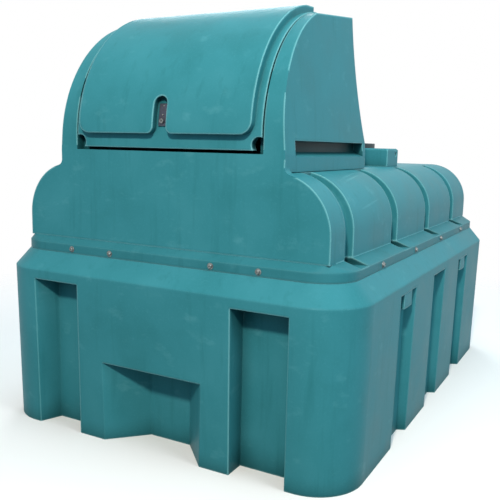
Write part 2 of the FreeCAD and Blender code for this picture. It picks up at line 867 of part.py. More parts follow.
# Inspection hatch on the deck: a collar and its round lid
hatch_y = rear_y - S["hatch_rear_gap"]
collar = new_body("hatch_collar")
collar_sketch = new_sketch(collar, "XY_Plane", deck_z)
add_circle(collar_sketch, 0, hatch_y, S["hatch_collar_radius"])
add_circle(collar_sketch, 0, hatch_y, S["hatch_collar_radius"] - S["hatch_collar_wall"])
feature(collar, "Pad", collar_sketch, S["hatch_collar_height"])
PARTS["hatch_collar"] = collar
hatch = new_body("hatch_lid")
hatch_sketch = new_sketch(hatch, "XY_Plane", deck_z + S["hatch_collar_height"])
add_circle(hatch_sketch, 0, hatch_y, S["hatch_lid_radius"])
feature(hatch, "Pad", hatch_sketch, S["hatch_lid_height"])
PARTS["hatch_lid"] = hatch

doc.recompute()

# Check every object and write the parts
for made in doc.Objects:
    if "Invalid" in made.State or "Error" in made.State:
        raise RuntimeError("%s: %s" % (made.Name, made.State))
os.makedirs("parts", exist_ok=True)
for name, made in PARTS.items():
    made.Label = name
    shape = made.Shape
    if shape.isNull() or not shape.isValid() or not shape.Solids:
        raise RuntimeError("bad shape: " + name)
    shape.exportStep("parts/%s.step" % name)
    box = shape.BoundBox
    print("%-20s %d solid(s)  x %.1f..%.1f  y %.1f..%.1f  z %.1f..%.1f" % (
        name, len(shape.Solids), box.XMin, box.XMax, box.YMin, box.YMax, box.ZMin, box.ZMax))
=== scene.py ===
"""Finishes, fasteners and studio for the bunded fuel storage tank."""
import json
import math

import bmesh
import bpy
from bpy.props import FloatProperty, FloatVectorProperty, IntProperty, PointerProperty
from mathutils import Matrix, Vector


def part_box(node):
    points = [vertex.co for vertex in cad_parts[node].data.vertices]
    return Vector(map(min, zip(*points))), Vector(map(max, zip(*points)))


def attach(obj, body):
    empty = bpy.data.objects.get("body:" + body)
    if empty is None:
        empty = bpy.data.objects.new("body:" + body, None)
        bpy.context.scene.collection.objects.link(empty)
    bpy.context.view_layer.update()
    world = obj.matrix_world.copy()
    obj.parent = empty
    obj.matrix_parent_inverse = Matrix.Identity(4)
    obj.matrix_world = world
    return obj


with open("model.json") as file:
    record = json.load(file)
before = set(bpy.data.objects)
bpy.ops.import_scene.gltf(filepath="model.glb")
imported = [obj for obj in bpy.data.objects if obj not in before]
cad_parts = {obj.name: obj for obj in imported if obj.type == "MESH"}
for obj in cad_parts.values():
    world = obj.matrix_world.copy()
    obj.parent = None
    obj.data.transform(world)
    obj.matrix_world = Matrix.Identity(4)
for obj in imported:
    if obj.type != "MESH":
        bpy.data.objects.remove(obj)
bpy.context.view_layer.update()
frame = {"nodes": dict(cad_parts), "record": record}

bl_info = {
    "name": "Fuel Storage Tank",
    "version": (1, 0, 0),
    "blender": (4, 5, 0),
    "location": "View3D > Sidebar > Tank",
    "description": "Finishes, fasteners and studio for a bunded fuel storage tank",
    "category": "Object",
}

# Sizes that the frame's boxes don't give: the bolted band of the flange, the round
# shoulder of the shell, the lock plate's thickness and the slope of the cabinet roof
FLANGE_BAND = 0.037
SHOULDER_RADIUS = 0.216
PLATE_THICKNESS = 0.005
ROOF_SLOPE = math.radians(7.0)

# How near two lengths are to count as the same, and the angle up to which new pieces shade smoothly
CLOSE = 1e-5
SMOOTH_ANGLE = math.radians(35)

# Reach of a joint between mouldings to either side, where edges stay plain
SEAM_REACH = 0.016

# Opening whose inside gets a painted shadow, how far its walls lie outside the stated box, the shadow's
# share and how dark it is
HAND_SLOT = "right_hand_slot"
SLOT_MARGIN = 0.0045
SLOT_SHADOW = 0.8
SLOT_SHADE = 0.1

# Noises of the moulded skin: scale and detail of the even ones, stretch and scale of the drawn-out ones
EVEN_NOISES = {"Mottle": (4.5, 5.0), "Speckle": (140.0, 2.0), "Peel": (420.0, 3.0)}
DRAWN_NOISES = {"Runs": ((1.0, 1.0, 0.08), 26.0), "Scuffs": ((0.6, 0.6, 1.0), 16.0)}
WAVE_SCALE = 9.0

# Weathering of the mouldings: the values of a mask where it starts and is full, and its share there
CHALK = (0.50, 0.72, 0.42)
STAIN = (0.46, 0.30, 0.36)
SPECKLE = (0.55, 0.75, 0.25)
RUNS = (0.56, 0.78, 0.45)
SCUFFS = (0.60, 0.80, 0.14)

# Painted shade and dirt in the corners and recesses, darker where the surroundings occlude: how far it
# looks, where it is full and where it ends, its share and how dark it is
DIRT_AND_SHADE_DISTANCE = 0.14
DIRT_AND_SHADE_SPAN = (0.28, 0.74)
DIRT_AND_SHADE_SHARE = 0.9
SHELL_DIRT_AND_SHADE_SHARE = 0.1
DIRT_AND_SHADE_TONE = 0.32

# Rubbed edges, also a painted highlight along convex edges: where the rubbed line is full and where it
# ends, and its share
WEAR_AND_HIGHLIGHT_SPAN = (0.45, 0.85)
WEAR_AND_HIGHLIGHT_SHARE = 0.85

# Gloss of the mouldings, the depth of their fine skin, how much stronger its long waves are than
# its grain, and the values of a noise between which roughness changes
MOULDED_GLOSS = 0.08
PEEL_DEPTH = 0.002
WAVE_SHARE = 2.0
ROUGHNESS_SPAN = (0.3, 0.7)

# Shares that make the flange a darker copy of the teal and give the hatch its colours: their middle, pale,
# deep and rubbed-and-highlight colours against the plain ones
FLANGE_SHADES = (0.82, 0.85, 0.8, 0.7)
HATCH_SHADES = (1.0, 1.5, 0.7, 2.0)

# Stain, roughness and edge softness of the steel and the lock plate
STEEL = ((0.055, 0.050, 0.044), 0.42, 0.0006)
PLATE = ((0.045, 0.040, 0.048), 0.55, 0.001)

# Key slot, a dark shape of painted shadow: its two dark tones, and the scale of the noise between them and
# the slot's roughness
KEY_SHADOW_TONES = ((0.006, 0.006, 0.007), (0.02, 0.018, 0.016))
KEY_GRAIN = 900.0
KEY_ROUGHNESS = 0.7

# Metal: stretch and scale of its brushed streaks, their relief, the scale of its stains,
# and the spans of the stains' noise with the share of stain and of metal shine at either end
STREAK_STRETCH = (1.0, 1.0, 12.0)
STREAK_SCALE = 180.0
STREAK_STRENGTH = 0.15
STREAK_DEPTH = 0.0004
BLOT_SCALE = 95.0
BLOT_STAIN = (0.45, 0.68, 0.0, 0.85)
BLOT_SHINE = (0.5, 0.7, 0.9, 0.35)

# Rounding of a washer, bolt head and domed head as a share of its height, and the width of the rim
# round a socket as a share of the head's radius
WASHER_ROUND = 0.4
HEAD_ROUND = 0.7
DOME_ROUND = 0.85
SOCKET_RIM = 0.12

# Height of a rivet and a screw head as a share of its radius
RIVET_RISE = 0.6
SCREW_RISE = 0.5

# Thickness of the key slot's dark shape of painted shadow, and how far in front of the barrel its middle
# lies
KEY_DEPTH = 0.0012
KEY_LIFT = 0.0002

# Lamps: place, target, size, power property and colour
LAMPS = {
    "top_lamp": ((0.6, 0.6, 6.0), (0.0, 0.2, 0.8), 4.0, "top_power", (0.70, 0.90, 1.0)),
    "key_lamp": ((1.7, -5.2, 4.3), (0.0, 0.0, 0.9), 0.5, "key_power", (1.0, 0.96, 0.87)),
    "side_lamp": ((4.8, -1.6, 4.4), (0.2, 0.0, 0.9), 3.0, "side_power", (0.80, 0.93, 1.0)),
    "rear_lamp": ((-3.6, 5.6, 4.2), (0.0, 0.3, 0.9), 4.0, "rear_power", (0.85, 0.95, 1.0)),
}

# Floor: its radius, the distances from the middle where it starts to fade and is gone, and its finish
FLOOR_RADIUS = 60.0
FLOOR_FADE = (1.6, 3.6)
FLOOR_ROUGHNESS = 0.9
FLOOR_GLOSS = 0.1

# Camera: width of its sensor in millimetres, and how far it sees
SENSOR_WIDTH = 36.0
SIGHT = 200.0


def nodes_of(*slots):
    return [row["node"] for row in frame["record"]["subparts"] if row["material_slot"] in slots]


TEAL_NODES = nodes_of("teal_plastic")
DARK_NODES = nodes_of("dark_plastic")
PLATE_NODES = nodes_of("lock_grey")
STEEL_NODES = nodes_of("lock_metal", "hinge_steel")
JOINED_NODES = ["front_wall", "rear_wall", "cheek_right", "cheek_left"]


class TankFinish(bpy.types.PropertyGroup):
    """Colours and surface of the mouldings and metal"""

    teal: FloatVectorProperty(
        name="Moulding colour", description="Body colour of the polyethylene mouldings",
        subtype="COLOR", size=3, min=0.0, max=1.0, default=(0.037, 0.214, 0.242))
    teal_pale: FloatVectorProperty(
        name="Chalked colour", description="Paler colour where the moulding has weathered",
        subtype="COLOR", size=3, min=0.0, max=1.0, default=(0.059, 0.266, 0.301))
    # Also darkened into the painted shade in corners, recesses and hand slots
    teal_deep: FloatVectorProperty(
        name="Stained colour", description="Darker colour where dirt has settled",
        subtype="COLOR", size=3, min=0.0, max=1.0, default=(0.020, 0.154, 0.168))
    # Also the colour of the painted highlight along the edges, besides rubbed edges and scuffs
    teal_rubbed_and_highlight: FloatVectorProperty(
        name="Rubbed colour", description="Pale colour of the rubbed edges",
        subtype="COLOR", size=3, min=0.0, max=1.0, default=(0.24, 0.58, 0.60))
    cap: FloatVectorProperty(
        name="Hatch colour", description="Colour of the screw-on hatch lid",
        subtype="COLOR", size=3, min=0.0, max=1.0, default=(0.060, 0.072, 0.074))
    plate: FloatVectorProperty(
        name="Lock plate colour", description="Colour of the weathered lock plate",
        subtype="COLOR", size=3, min=0.0, max=1.0, default=(0.080, 0.088, 0.118))
    steel: FloatVectorProperty(
        name="Steel colour", description="Colour of bolts, lock barrel and hinges",
        subtype="COLOR", size=3, min=0.0, max=1.0, default=(0.24, 0.26, 0.26))
    edge_softness: FloatProperty(
        name="Edge softness", description="Radius by which the moulded edges look rounded",
        unit="LENGTH", min=0.0, default=0.013)
    # The rubbed line along the edges is also a painted highlight
    edge_wear_and_highlight: FloatProperty(
        name="Edge wear", description="Width of the rubbed line along the edges",
        unit="LENGTH", min=0.0, default=0.009)
    roughness: FloatProperty(
        name="Roughness", description="Roughness of the mouldings", min=0.0, max=1.0, default=0.42)
    peel: FloatProperty(
        name="Orange peel", description="Strength of the fine skin of the mouldings",
        min=0.0, max=1.0, default=0.05)


class TankBolts(bpy.types.PropertyGroup):
    """Sizes and places of the flange bolts"""

    head_radius: FloatProperty(
        name="Head radius", description="Radius of a bolt head", unit="LENGTH", default=0.009)
    head_height: FloatProperty(
        name="Head height", description="Height of a bolt head", unit="LENGTH", default=0.007)
    washer_radius: FloatProperty(
        name="Washer radius", description="Radius of the washer under a head",
        unit="LENGTH", default=0.0125)
    washer_height: FloatProperty(
        name="Washer height", description="Thickness of the washer", unit="LENGTH", default=0.002)
    socket_depth: FloatProperty(
        name="Socket depth", description="Depth of the round socket", unit="LENGTH", default=0.004)
    front_inner: FloatProperty(
        name="Inner front bolts", description="Distance of the inner bolts from the middle of each end",
        unit="LENGTH", default=0.239)
    front_outer: FloatProperty(
        name="Outer front bolts", description="Distance of the outer bolts from the middle of each end",
        unit="LENGTH", default=0.439)
    side_pitch: FloatProperty(
        name="Side pitch", description="Pitch of the bolts along each side", unit="LENGTH", default=0.473)
    side_count: IntProperty(
        name="Side count", description="Number of bolts along each side", min=1, default=4)


class TankLock(bpy.types.PropertyGroup):
    """Sizes of the lock and hinge hardware"""

    rivet_radius: FloatProperty(
        name="Rivet radius", description="Radius of a lock plate rivet", unit="LENGTH", default=0.0034)
    rivet_inset: FloatProperty(
        name="Rivet inset", description="Distance of the rivets from the plate's ends",
        unit="LENGTH", default=0.009)
    key_length: FloatProperty(
        name="Key slot length", description="Length of the key slot", unit="LENGTH", default=0.010)
    key_width: FloatProperty(
        name="Key slot width", description="Width of the key slot", unit="LENGTH", default=0.0026)
    screw_radius: FloatProperty(
        name="Hinge screw radius", description="Radius of a hinge screw head",
        unit="LENGTH", default=0.0042)
    screw_pitch: FloatProperty(
        name="Hinge screw pitch", description="Distance between the screws of a hinge leaf",
        unit="LENGTH", default=0.044)


class TankStudio(bpy.types.PropertyGroup):
    """Camera, lamps and floor"""

    eye: FloatVectorProperty(
        name="Camera place", description="Place of the camera", subtype="TRANSLATION", size=3,
        default=(1.5367, -3.2141, 1.2126))
    heading: FloatProperty(
        name="Heading", description="Turn of the camera to the left of straight ahead",
        subtype="ANGLE", default=math.radians(28.498))
    tilt: FloatProperty(
        name="Tilt", description="Downward tilt of the camera",
        subtype="ANGLE", default=math.radians(8.795))
    roll: FloatProperty(
        name="Roll", description="Roll of the camera", subtype="ANGLE", default=math.radians(1.294))
    lens: FloatProperty(
        name="Lens", description="Focal length on a 36 mm sensor, in millimetres", min=1.0, default=48.61)
    floor_colour: FloatVectorProperty(
        name="Floor colour", description="Colour of the floor", subtype="COLOR", size=3,
        min=0.0, max=1.0, default=(1.0, 0.92, 0.87))
    floor_bounce: FloatVectorProperty(
        name="Floor bounce", description="Colour of the floor for the light it throws back",
        subtype="COLOR", size=3, min=0.0, max=1.0, default=(0.14, 0.135, 0.12))
    sky_colour: FloatVectorProperty(
        name="Sky colour", description="Colour of the soft light all round", subtype="COLOR", size=3,
        min=0.0, max=1.0, default=(0.54, 0.80, 1.0))
    sky_strength: FloatProperty(
        name="Sky strength", description="Strength of the soft light all round", min=0.0, default=0.5)
    top_power: FloatProperty(
        name="Top lamp", description="Power of the lamp overhead", unit="POWER", min=0.0, default=100.0)
    key_power: FloatProperty(
        name="Key lamp", description="Power of the lamp at the front", unit="POWER",
        min=0.0, default=272.0)
    side_power: FloatProperty(
        name="Side lamp", description="Power of the soft lamp on the right", unit="POWER",
        min=0.0, default=148.0)
    rear_power: FloatProperty(
        name="Rear lamp", description="Power of the soft lamp behind on the left", unit="POWER",
        min=0.0, default=220.0)


# Modelling helpers

def deselect():
    for obj in bpy.context.selected_objects:
        obj.select_set(False)


def activate(obj):
    deselect()
    obj.select_set(True)
    bpy.context.view_layer.objects.active = obj


def start_edit(obj):
    activate(obj)
    bpy.ops.object.mode_set(mode="EDIT")
    bpy.ops.mesh.select_all(action="DESELECT")


def end_edit():
    bpy.ops.object.mode_set(mode="OBJECT")


def pick_faces(obj, wanted):
    """Selects the faces of the edited mesh that pass the test."""
    bpy.ops.mesh.select_mode(type="FACE")
    mesh = bmesh.from_edit_mesh(obj.data)
    for face in mesh.faces:
        face.select_set(wanted(face))
    mesh.select_flush_mode()
    bmesh.update_edit_mesh(obj.data)


def pick_edges(obj, wanted):
    """Selects the edges of the edited mesh that pass the test."""
    bpy.ops.mesh.select_mode(type="EDGE")
    mesh = bmesh.from_edit_mesh(obj.data)
    for edge in mesh.edges:
        edge.select_set(wanted(edge))
    bmesh.update_edit_mesh(obj.data)


def edge_height(edge):
    return (edge.verts[0].co.z + edge.verts[1].co.z) / 2


def is_level(edge):
    return abs(edge.verts[0].co.z - edge.verts[1].co.z) < CLOSE


def finish_piece(obj, name, body, material):
    """Names a piece, sets its finish and lets it ride on a body."""
    activate(obj)
    bpy.ops.object.transform_apply(location=True, rotation=True, scale=True)
    bpy.ops.object.shade_smooth_by_angle(angle=SMOOTH_ANGLE)
    obj.name = name
    obj.data.name = name
    obj.data.materials.clear()
    obj.data.materials.append(material)
    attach(obj, body)


def place_copy(pattern, facing, place):
    """Copies a pattern modelled along +Z so that it faces a direction at a place."""
    copy = pattern.copy()
    copy.data = pattern.data.copy()
    bpy.context.collection.objects.link(copy)
    turn = Vector(facing).to_track_quat("Z", "Y").to_matrix().to_4x4()
    copy.matrix_world = Matrix.Translation(place) @ turn
    return copy


def remove_pattern(pattern):
    activate(pattern)
    bpy.ops.object.delete()


# Materials

def new_material(name):
    material = bpy.data.materials.new(name)
    material.use_nodes = True
    return material, material.node_tree.nodes, material.node_tree.links


def noise(nodes, links, coordinates, scale, detail, roughness=0.5):
    made = nodes.new("ShaderNodeTexNoise")
    made.inputs["Scale"].default_value = scale
    made.inputs["Detail"].default_value = detail
    made.inputs["Roughness"].default_value = roughness
    links.new(coordinates, made.inputs["Vector"])
    return made.outputs["Fac"]


def span(nodes, links, value, low, high, to_low, to_high):
    made = nodes.new("ShaderNodeMapRange")
    made.inputs["From Min"].default_value = low
    made.inputs["From Max"].default_value = high
    made.inputs["To Min"].default_value = to_low
    made.inputs["To Max"].default_value = to_high
    links.new(value, made.inputs["Value"])
    return made.outputs["Result"]


def mix_colour(nodes, links, factor, first, second):
    made = nodes.new("ShaderNodeMix")
    made.data_type = "RGBA"
    links.new(factor, made.inputs["Factor"])
    for socket, colour in ((made.inputs["A"], first), (made.inputs["B"], second)):
        if isinstance(colour, bpy.types.NodeSocket):
            links.new(colour, socket)
        else:
            socket.default_value = (*colour, 1.0)
    return made.outputs["Result"]


def arithmetic(nodes, links, operation, *values):
    made = nodes.new("ShaderNodeMath")
    made.operation = operation
    for socket, value in zip(made.inputs, values):
        if isinstance(value, bpy.types.NodeSocket):
            links.new(value, socket)
        else:
            socket.default_value = value
    return made.outputs["Value"]


def object_axes(nodes, links):
    axes = nodes.new("ShaderNodeSeparateXYZ")
    links.new(nodes.new("ShaderNodeTexCoord").outputs["Object"], axes.inputs["Vector"])
    return axes.outputs


def weathering_group():
    """Group with mottle, speckle, rain runs and scuffs, and a height for the skin of a moulding."""
    group = bpy.data.node_groups.new("moulded_skin", "ShaderNodeTree")
    for name, (scale, detail) in EVEN_NOISES.items():
        socket = group.interface.new_socket(name + " Scale", in_out="INPUT", socket_type="NodeSocketFloat")
        socket.default_value = scale
    for name in ("Mottle", "Speckle", "Runs", "Scuffs", "Height"):
        group.interface.new_socket(name, in_out="OUTPUT", socket_type="NodeSocketFloat")
    nodes = group.nodes
    links = group.links
    entry = nodes.new("NodeGroupInput")
    result = nodes.new("NodeGroupOutput")
    place = nodes.new("ShaderNodeTexCoord").outputs["Object"]
    outputs = {}
    for name, (scale, detail) in EVEN_NOISES.items():
        made = nodes.new("ShaderNodeTexNoise")
        made.inputs["Detail"].default_value = detail
        links.new(place, made.inputs["Vector"])
        links.new(entry.outputs[name + " Scale"], made.inputs["Scale"])
        outputs[name] = made.outputs["Fac"]
    for name, (stretch, scale) in DRAWN_NOISES.items():
        mapping = nodes.new("ShaderNodeMapping")
        mapping.inputs["Scale"].default_value = stretch
        links.new(place, mapping.inputs["Vector"])
        links.new(noise(nodes, links, mapping.outputs["Vector"], scale, 4.0, 0.6), result.inputs[name])
    wave = noise(nodes, links, place, WAVE_SCALE, 1.0)
    height = arithmetic(nodes, links, "MULTIPLY_ADD", wave, WAVE_SHARE, outputs["Peel"])
    links.new(outputs["Mottle"], result.inputs["Mottle"])
    links.new(outputs["Speckle"], result.inputs["Speckle"])
    links.new(height, result.inputs["Height"])
    return group


def seam_share(nodes, links, seams):
    """Share that falls to nothing along joints between mouldings: (axis, place) pairs in metres."""
    share = None
    axes = object_axes(nodes, links)
    for axis, place in seams:
        near = arithmetic(nodes, links, "COMPARE", axes[axis], place, SEAM_REACH)
        keep = arithmetic(nodes, links, "SUBTRACT", 1.0, near)
        share = keep if share is None else arithmetic(nodes, links, "MULTIPLY", share, keep)
    return share


def occlusion(nodes, distance, inside):
    made = nodes.new("ShaderNodeAmbientOcclusion")
    made.samples = 8
    made.inside = inside
    made.only_local = inside
    made.inputs["Distance"].default_value = distance
    return made.outputs["AO"]


def slot_shadow_share(nodes, links):
    """Share of painted shadow that covers the inside of the cheeks' hand slots."""
    openings = frame["record"]["physics"]["openings"]
    low, high = next(row["box_m"] for row in openings if row["name"] == HAND_SLOT)
    axes = object_axes(nodes, links)
    places = (arithmetic(nodes, links, "ABSOLUTE", axes["X"]), axes["Y"], axes["Z"])
    share = SLOT_SHADOW
    for place, start, end in zip(places, low, high):
        reach = (end - start) / 2 + SLOT_MARGIN
        inside = arithmetic(nodes, links, "COMPARE", place, (start + end) / 2, reach)
        share = arithmetic(nodes, links, "MULTIPLY", inside, share)
    return share


def arch_normal(nodes, links, facing):
    """True normal of the arched shell: round the shoulders, with the lengthwise lean of the soft edges."""
    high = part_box("tank_shell")[1]
    axes = object_axes(nodes, links)
    side = arithmetic(nodes, links, "SIGN", axes["X"])
    out = arithmetic(nodes, links, "ABSOLUTE", axes["X"])
    out = arithmetic(nodes, links, "SUBTRACT", out, high[0] - SHOULDER_RADIUS)
    out = arithmetic(nodes, links, "MAXIMUM", out, 0.0)
    out = arithmetic(nodes, links, "MULTIPLY", out, side)
    up = arithmetic(nodes, links, "SUBTRACT", axes["Z"], high[2] - SHOULDER_RADIUS)
    up = arithmetic(nodes, links, "MAXIMUM", up, 0.0)
    section = nodes.new("ShaderNodeCombineXYZ")
    links.new(out, section.inputs["X"])
    links.new(up, section.inputs["Z"])
    unit = nodes.new("ShaderNodeVectorMath")
    unit.operation = "NORMALIZE"
    links.new(section.outputs["Vector"], unit.inputs[0])
    lean = nodes.new("ShaderNodeSeparateXYZ")
    links.new(facing, lean.inputs["Vector"])
    rest = arithmetic(nodes, links, "MULTIPLY", lean.outputs["Y"], lean.outputs["Y"])
    rest = arithmetic(nodes, links, "SQRT", arithmetic(nodes, links, "SUBTRACT", 1.0, rest))
    scaled = nodes.new("ShaderNodeVectorMath")
    scaled.operation = "SCALE"
    links.new(unit.outputs["Vector"], scaled.inputs[0])
    links.new(rest, scaled.inputs["Scale"])
    lengthwise = nodes.new("ShaderNodeCombineXYZ")
    links.new(lean.outputs["Y"], lengthwise.inputs["Y"])
    both = nodes.new("ShaderNodeVectorMath")
    links.new(scaled.outputs["Vector"], both.inputs[0])
    links.new(lengthwise.outputs["Vector"], both.inputs[1])
    return both.outputs["Vector"]


def shaded(colour, share):
    return [channel * share for channel in colour]


def moulded_material(name, group, colours, finish, rounding, seams=(), dirt_and_shade_share=DIRT_AND_SHADE_SHARE,
                     arched=False, slot_shadowed=False):
    """Polyethylene: mottled colour, rubbed soft edges with a painted highlight, painted shade and dirt in
    the corners and a fine skin.
    """
    middle, pale, deep, rubbed_and_highlight = colours
    roughness = finish.roughness
    material, nodes, links = new_material(name)
    shader = nodes["Principled BSDF"]
    skin = nodes.new("ShaderNodeGroup")
    skin.node_tree = group
    tint = middle
    for mask, (start, full, most), colour in (
            ("Mottle", CHALK, pale), ("Mottle", STAIN, deep), ("Speckle", SPECKLE, pale),
            ("Runs", RUNS, deep), ("Scuffs", SCUFFS, rubbed_and_highlight)):
        share = span(nodes, links, skin.outputs[mask], start, full, 0.0, most)
        tint = mix_colour(nodes, links, share, tint, colour)
    # Painted shade and dirt: the colour darkens towards the deep tone where the surroundings occlude
    dirt_and_shade = span(nodes, links, occlusion(nodes, DIRT_AND_SHADE_DISTANCE, False), *DIRT_AND_SHADE_SPAN, dirt_and_shade_share, 0.0)
    tint = mix_colour(nodes, links, dirt_and_shade, tint, shaded(deep, DIRT_AND_SHADE_TONE))
    # Painted shadow inside the hand slots
    if slot_shadowed:
        tint = mix_colour(nodes, links, slot_shadow_share(nodes, links), tint, shaded(deep, SLOT_SHADE))
    # Painted highlight and rubbed wear: a lighter line where occlusion inside the surface finds a convex
    # edge
    wear_and_highlight = span(nodes, links, occlusion(nodes, finish.edge_wear_and_highlight, True), *WEAR_AND_HIGHLIGHT_SPAN, WEAR_AND_HIGHLIGHT_SHARE, 0.0)
    keep = seam_share(nodes, links, seams) if seams else None
    if keep:
        wear_and_highlight = arithmetic(nodes, links, "MULTIPLY", wear_and_highlight, keep)
    tint = mix_colour(nodes, links, wear_and_highlight, tint, rubbed_and_highlight)
    links.new(tint, shader.inputs["Base Color"])
    mottle = skin.outputs["Mottle"]
    links.new(span(nodes, links, mottle, *ROUGHNESS_SPAN, roughness - 0.05, roughness + 0.07),
              shader.inputs["Roughness"])
    edges = nodes.new("ShaderNodeBevel")
    edges.samples = 6
    edges.inputs["Radius"].default_value = rounding
    if keep:
        links.new(arithmetic(nodes, links, "MULTIPLY", keep, rounding), edges.inputs["Radius"])
    bump = nodes.new("ShaderNodeBump")
    bump.inputs["Strength"].default_value = finish.peel
    bump.inputs["Distance"].default_value = PEEL_DEPTH
    links.new(skin.outputs["Height"], bump.inputs["Height"])
    facing = edges.outputs["Normal"]
    if arched:
        facing = arch_normal(nodes, links, facing)
    links.new(facing, bump.inputs["Normal"])
    links.new(bump.outputs["Normal"], shader.inputs["Normal"])
    shader.inputs["Specular IOR Level"].default_value = MOULDED_GLOSS
    return material


def metal_material(name, colour, stain, roughness, softness):
    """Weathered metal: brushed streaks and darker stains."""
    material, nodes, links = new_material(name)
    shader = nodes["Principled BSDF"]
    place = nodes.new("ShaderNodeTexCoord").outputs["Object"]
    stretch = nodes.new("ShaderNodeMapping")
    stretch.inputs["Scale"].default_value = STREAK_STRETCH
    links.new(place, stretch.inputs["Vector"])
    streaks = noise(nodes, links, stretch.outputs["Vector"], STREAK_SCALE, 2.0)
    blots = noise(nodes, links, place, BLOT_SCALE, 4.0)
    share = span(nodes, links, blots, *BLOT_STAIN)
    links.new(mix_colour(nodes, links, share, colour, stain), shader.inputs["Base Color"])
    links.new(span(nodes, links, streaks, *ROUGHNESS_SPAN, roughness - 0.08, roughness + 0.12),
              shader.inputs["Roughness"])
    links.new(span(nodes, links, blots, *BLOT_SHINE), shader.inputs["Metallic"])
    edges = nodes.new("ShaderNodeBevel")
    edges.samples = 4
    edges.inputs["Radius"].default_value = softness
    bump = nodes.new("ShaderNodeBump")
    bump.inputs["Strength"].default_value = STREAK_STRENGTH
    bump.inputs["Distance"].default_value = STREAK_DEPTH
    links.new(streaks, bump.inputs["Height"])
    links.new(edges.outputs["Normal"], bump.inputs["Normal"])
    links.new(bump.outputs["Normal"], shader.inputs["Normal"])
    return material


def seen_share(nodes, links):
    """1 where the eye, a reflection or glass looks at the background, 0 for the light that it gives."""
    rays = nodes.new("ShaderNodeLightPath")
    share = rays.outputs["Is Camera Ray"]
    for kind in ("Is Glossy Ray", "Is Transmission Ray"):
        share = arithmetic(nodes, links, "MAXIMUM", share, rays.outputs[kind])
    return share


def paint(nodes, material):
    for name in nodes:
        slots = frame["nodes"][name].material_slots
        if not slots:
            frame["nodes"][name].data.materials.append(material)
        for slot in slots:
            slot.material = material


class TANK_OT_finishes(bpy.types.Operator):
    """Give every moulding and metal part its finish"""

    bl_idname = "tank.finishes"
    bl_label = "Finishes"

    def execute(self, context):
        finish = context.scene.tank_finish
        group = weathering_group()
        teals = (finish.teal, finish.teal_pale, finish.teal_deep, finish.teal_rubbed_and_highlight)
        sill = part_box("front_wall")[1][2]
        joint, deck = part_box("tank_shell")[1][1:]
        seams = (("Z", sill), ("Z", deck), ("Y", -joint), ("Y", joint))
        soft = finish.edge_softness
        teal = moulded_material("teal_polyethylene", group, teals, finish, soft)
        # The joined mouldings carry the painted shadow of the hand slots
        joined = moulded_material("teal_joined", group, teals, finish, soft, seams, slot_shadowed=True)
        ribbed = moulded_material(
            "teal_ribbed", group, teals, finish, soft, seams[2:], SHELL_DIRT_AND_SHADE_SHARE, arched=True)
        # The flange band is a darker copy of the teal
        bands = [shaded(colour, share) for colour, share in zip(teals, FLANGE_SHADES)]
        darker_band = moulded_material("teal_stained", group, bands, finish, soft)
        caps = [shaded(finish.cap, share) for share in HATCH_SHADES]
        cap = moulded_material("hatch_cap", group, caps, finish, soft / 2)
        plate = metal_material("lock_plate_metal", finish.plate, *PLATE)
        steel = metal_material("fastener_steel", finish.steel, *STEEL)
        paint(TEAL_NODES, teal)
        paint(JOINED_NODES, joined)
        paint(["tank_shell"], ribbed)
        paint(["flange"], darker_band)
        paint(DARK_NODES, cap)
        paint(PLATE_NODES, plate)
        paint(STEEL_NODES, steel)
        return {"FINISHED"}


def bolt_pattern(bolts):
    """A washer and a button head with a round socket, modelled along +Z."""
    deselect()
    bpy.ops.mesh.primitive_cylinder_add(
        vertices=32, radius=bolts.washer_radius, depth=bolts.washer_height,
        location=(0, 0, bolts.washer_height / 2))
    washer = bpy.context.object
    top = bolts.washer_height
    start_edit(washer)
    pick_edges(washer, lambda e: is_level(e) and e.verts[0].co.z > top / 4)
    bpy.ops.mesh.bevel(offset=top * WASHER_ROUND, segments=2, affect="EDGES")
    end_edit()
    deselect()
    head_top = top + bolts.head_height
    bpy.ops.mesh.primitive_cylinder_add(
        vertices=36, radius=bolts.head_radius, depth=bolts.head_height,
        location=(0, 0, top + bolts.head_height / 2))
    head = bpy.context.object
    activate(head)
    bpy.ops.object.transform_apply(location=True)
    start_edit(head)
    pick_edges(head, lambda e: is_level(e) and edge_height(e) > head_top - CLOSE)
    bpy.ops.mesh.bevel(offset=bolts.head_height * HEAD_ROUND, segments=5, affect="EDGES")
    pick_faces(head, lambda f: f.normal.z > 0.99 and f.calc_center_median().z > head_top - CLOSE)
    bpy.ops.mesh.inset(thickness=bolts.head_radius * SOCKET_RIM)
    bpy.ops.mesh.extrude_region_move(TRANSFORM_OT_translate={"value": (0, 0, -bolts.socket_depth)})
    end_edit()
    activate(washer)
    bpy.ops.object.transform_apply(location=True)
    head.select_set(True)
    bpy.ops.object.join()
    return washer


class TANK_OT_flange_bolts(bpy.types.Operator):
    """Set the bolts round the flange"""

    bl_idname = "tank.flange_bolts"
    bl_label = "Flange bolts"

    def execute(self, context):
        bolts = context.scene.tank_bolts
        steel = bpy.data.materials["fastener_steel"]
        low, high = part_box("flange")
        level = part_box("bund_tub")[1][2] + FLANGE_BAND / 2
        pattern = bolt_pattern(bolts)
        places = []
        row = (-bolts.front_outer, -bolts.front_inner, bolts.front_inner, bolts.front_outer)
        for end, face in ((-1, low[1]), (1, high[1])):
            for across in row:
                places.append(((0, end, 0), (across, face, level)))
        first = -bolts.side_pitch * (bolts.side_count - 1) / 2
        for side, face in ((-1, low[0]), (1, high[0])):
            for step in range(bolts.side_count):
                places.append(((side, 0, 0), (face, first + bolts.side_pitch * step, level)))
        for number, (facing, place) in enumerate(places, 1):
            bolt = place_copy(pattern, facing, place)
            finish_piece(bolt, "flange_bolt_%02d" % number, "tank", steel)
        remove_pattern(pattern)
        return {"FINISHED"}


